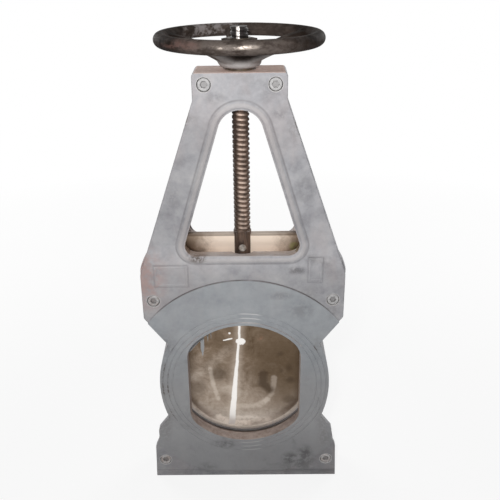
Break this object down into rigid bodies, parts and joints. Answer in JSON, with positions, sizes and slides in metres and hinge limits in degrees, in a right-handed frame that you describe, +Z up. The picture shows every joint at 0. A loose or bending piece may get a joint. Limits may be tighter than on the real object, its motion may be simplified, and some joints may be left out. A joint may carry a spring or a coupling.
{
  "type": "pulp valve",
  "caption": "Wafer-type pulp gate valve: split grey cast body with arched yoke, truncated port, sliding stainless gate, rising stem and dished spoked handwheel.",
  "frame": {"origin": "middle of the foot, on the floor, under the stem's axis", "axes": "+X across the valve to the right as seen from the front face, +Y along the flow from the front face to the rear face, +Z up along the stem"},
  "size_m": [0.283, 0.207, 0.667],
  "materials": {
    "grey_painted_iron": "grey paint on cast iron",
    "stainless_gate": "polished stainless with fine scratches",
    "stem_steel": "oily dark threaded steel",
    "seat_steel": "machined stainless",
    "packing": "braided packing",
    "bronze": "machined bronze",
    "screw_steel": "zinc-plated steel with paint",
    "worn_black_iron": "worn black-brown iron"
  },
  "bodies": {
    "valve_body": {"front_casting": "grey_painted_iron", "rear_casting": "grey_painted_iron", "seat_ring": "seat_steel", "front_packing": "packing", "rear_packing": "packing", "lower_thrust_washer": "bronze", "upper_thrust_washer": "bronze", "top_left_screw": "screw_steel", "top_right_screw": "screw_steel", "middle_left_screw": "screw_steel", "middle_right_screw": "screw_steel", "lower_left_screw": "screw_steel", "lower_right_screw": "screw_steel"},
    "gate_assembly": {"gate": "stainless_gate", "stem": "stem_steel", "fork_screw": "screw_steel", "fork_nut": "screw_steel"},
    "wheel_assembly": {"stem_nut": "bronze", "handwheel": "worn_black_iron", "wheel_key": "worn_black_iron", "wheel_nut": "worn_black_iron"}
  },
  "joints": [
    {"name": "handwheel_turn", "type": "hinge", "parent": "valve_body", "child": "wheel_assembly", "pos_m": [0, 0, 0.6538], "axis": [0, 0, 1], "range_deg": [0, 10885]},
    {"name": "gate_lift", "type": "slide", "parent": "valve_body", "child": "gate_assembly", "axis": [0, 0, 1], "range_m": [0, 0.192]}
  ],
  "couplings": [
    {"joint": "gate_lift", "follows": "handwheel_turn", "m_per_rad": 0.0010106}
  ]
}
